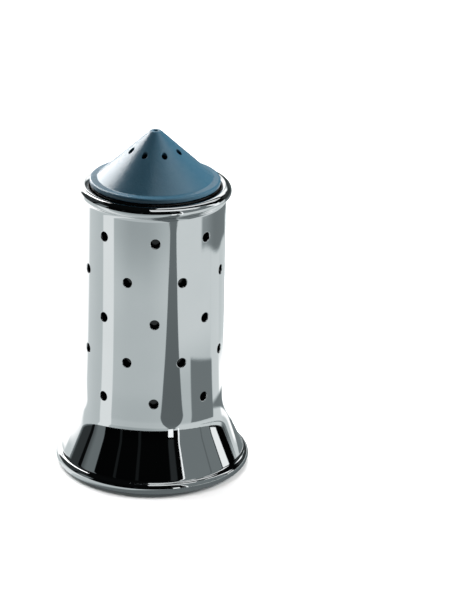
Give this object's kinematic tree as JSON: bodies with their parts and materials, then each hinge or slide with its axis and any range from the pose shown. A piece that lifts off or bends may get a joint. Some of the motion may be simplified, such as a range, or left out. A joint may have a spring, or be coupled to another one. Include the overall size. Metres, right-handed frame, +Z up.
{
  "type": "salt shaker",
  "caption": "Free-standing table salt shaker: polished steel sleeve with punched holes and a flared foot, black inner cup, and a lift-off conical cap with pour holes.",
  "frame": {"origin": "centre of the ring the shaker stands on, at table level", "axes": "+Z up along the shaker's axis, towards the cap's tip; the front in the picture faces -Y"},
  "size_m": [0.0622, 0.0622, 0.1119],
  "materials": {
    "polished_steel": "mirror polished stainless sheet",
    "black_plastic": "glossy black moulded plastic",
    "blue_plastic": "satin blue-grey moulded plastic",
    "seal_rubber": "smooth black rubber",
    "base_plastic": "fine-textured black moulded plastic",
    "screw_steel": "plain zinc-plated steel",
    "foot_rubber": "matt black rubber"
  },
  "bodies": {
    "shaker_body": {"outer_sleeve": "polished_steel", "salt_liner": "black_plastic", "base_plate": "base_plastic", "base_screw_1": "screw_steel", "base_screw_2": "screw_steel", "base_screw_3": "screw_steel", "foot_ring": "foot_rubber"},
    "cap_seal": {"cap_seal": "seal_rubber"},
    "cap": {"cap": "blue_plastic"}
  },
  "joints": [
    {"name": "cap_lift", "type": "slide", "parent": "shaker_body", "child": "cap_seal", "axis": [0, 0, 1], "range_m": [0, 0.03]},
    {"name": "cap_turn", "type": "hinge", "parent": "cap_seal", "child": "cap", "pos_m": [0, 0, 0.0948], "axis": [0, 0, 1], "continuous": true}
  ]
}
